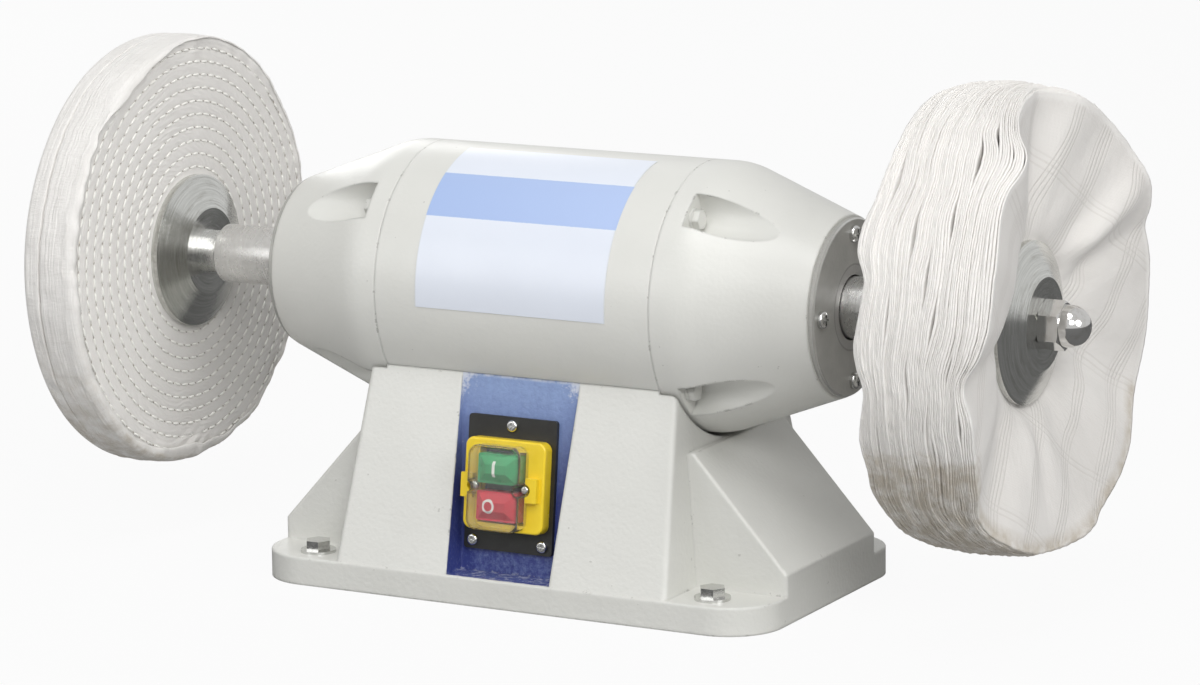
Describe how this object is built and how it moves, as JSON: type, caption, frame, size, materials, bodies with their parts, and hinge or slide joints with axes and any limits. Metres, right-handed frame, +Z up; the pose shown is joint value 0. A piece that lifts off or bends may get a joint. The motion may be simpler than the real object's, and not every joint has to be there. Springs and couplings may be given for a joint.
{
  "type": "bench polishing machine",
  "caption": "Bench polishing machine: cast stand, motor with a spindle out of both ends, a stitched and a loose cotton buff, and a start and stop switch in a blue recess.",
  "frame": {"origin": "on the bench, under the middle of the motor and below the spindle", "axes": "+X along the spindle to the machine's own right-hand end as seen from the front, the front with the switch faces -Y, +Z up"},
  "size_m": [0.6387, 0.25, 0.292],
  "materials": {
    "body_paint": "light grey satin paint over cast metal; the front recess is painted blue",
    "cover_paint": "mid grey satin paint with a bright bevelled edge",
    "zinc_steel": "dull zinc plate",
    "sheet_steel": "grey painted sheet",
    "label_film": "bare printed film with one pale blue band",
    "turned_steel": "turned and polished steel",
    "turned_aluminium": "fine turned lines",
    "nut_chrome": "bright plate",
    "core_steel": "stacked sheet, lightly oiled",
    "cage_metal": "cast",
    "copper_wire": "varnished copper wire",
    "stitched_cotton": "off-white woven cotton with rings of stitches",
    "loose_cotton": "white loose cotton plies",
    "black_plastic": "moulded, fine grain",
    "yellow_plastic": "moulded",
    "clear_plastic": "clear flexible boot",
    "green_plastic": "moulded, with a plain white bar",
    "red_plastic": "moulded, with a plain white ring",
    "capacitor_case": "drawn can",
    "white_plastic": "moulded",
    "black_rubber": "matt"
  },
  "bodies": {
    "stand": {"base_casting": "body_paint", "bottom_cover": "sheet_steel", "bottom_cover_screws": "zinc_steel", "bench_bolts": "zinc_steel", "bench_washers": "zinc_steel", "motor_housing": "body_paint", "housing_bolts": "zinc_steel", "front_label": "label_film", "left_end_bell": "body_paint", "right_end_bell": "body_paint", "end_bell_bolts": "body_paint", "end_bell_washers": "body_paint", "left_bearing_cover": "cover_paint", "right_bearing_cover": "cover_paint", "bearing_cover_screws": "zinc_steel", "left_outer_race": "turned_steel", "right_outer_race": "turned_steel", "left_preload_spring": "zinc_steel", "right_preload_spring": "zinc_steel", "stator_core": "core_steel", "stator_winding": "copper_wire", "switch_plate": "black_plastic", "switch_plate_screws": "zinc_steel", "switch_frame": "yellow_plastic", "switch_cover": "clear_plastic", "switch_cover_screws": "zinc_steel", "contact_block": "black_plastic", "start_spring": "zinc_steel", "stop_spring": "zinc_steel", "capacitor": "capacitor_case", "capacitor_strap": "zinc_steel", "chassis_screws": "zinc_steel", "terminal_block": "white_plastic", "motor_lead": "black_rubber", "lead_grommet": "black_rubber", "switch_lead": "black_rubber", "gland_body": "black_plastic", "gland_cap": "black_plastic", "gland_seal": "black_rubber", "gland_nut": "black_plastic"},
    "spindle": {"spindle_shaft": "turned_steel", "rotor_core": "core_steel", "rotor_cage": "cage_metal", "left_inner_race": "turned_steel", "right_inner_race": "turned_steel", "left_spacer_sleeve": "turned_steel", "right_spacer_sleeve": "turned_steel", "left_inner_flange": "turned_aluminium", "right_inner_flange": "turned_aluminium", "left_outer_flange": "turned_aluminium", "right_outer_flange": "turned_aluminium", "left_buff": "stitched_cotton", "right_buff": "loose_cotton", "left_cap_nut": "nut_chrome", "right_cap_nut": "nut_chrome"},
    "left_ball_set": {"left_bearing_balls": "turned_steel"},
    "right_ball_set": {"right_bearing_balls": "turned_steel"},
    "start": {"start_button": "green_plastic"},
    "stop": {"stop_button": "red_plastic"}
  },
  "joints": [
    {"name": "spindle_spin", "type": "hinge", "parent": "stand", "child": "spindle", "pos_m": [0, 0, 0.167], "axis": [1, 0, 0], "continuous": true},
    {"name": "left_balls_roll", "type": "hinge", "parent": "stand", "child": "left_ball_set", "pos_m": [0, 0, 0.167], "axis": [1, 0, 0], "continuous": true},
    {"name": "right_balls_roll", "type": "hinge", "parent": "stand", "child": "right_ball_set", "pos_m": [0, 0, 0.167], "axis": [1, 0, 0], "continuous": true},
    {"name": "start_press", "type": "slide", "parent": "stand", "child": "start", "axis": [0, 0.9925, -0.1219], "range_m": [0, 0.003], "stiffness_N_per_m": 600, "deforming": ["start_spring"]},
    {"name": "stop_press", "type": "slide", "parent": "stand", "child": "stop", "axis": [0, 0.9925, -0.1219], "range_m": [0, 0.003], "stiffness_N_per_m": 600, "deforming": ["stop_spring"]}
  ],
  "couplings": [
    {"joint": "left_balls_roll", "follows": "spindle_spin", "ratio": 0.3969},
    {"joint": "right_balls_roll", "follows": "spindle_spin", "ratio": 0.3969}
  ]
}
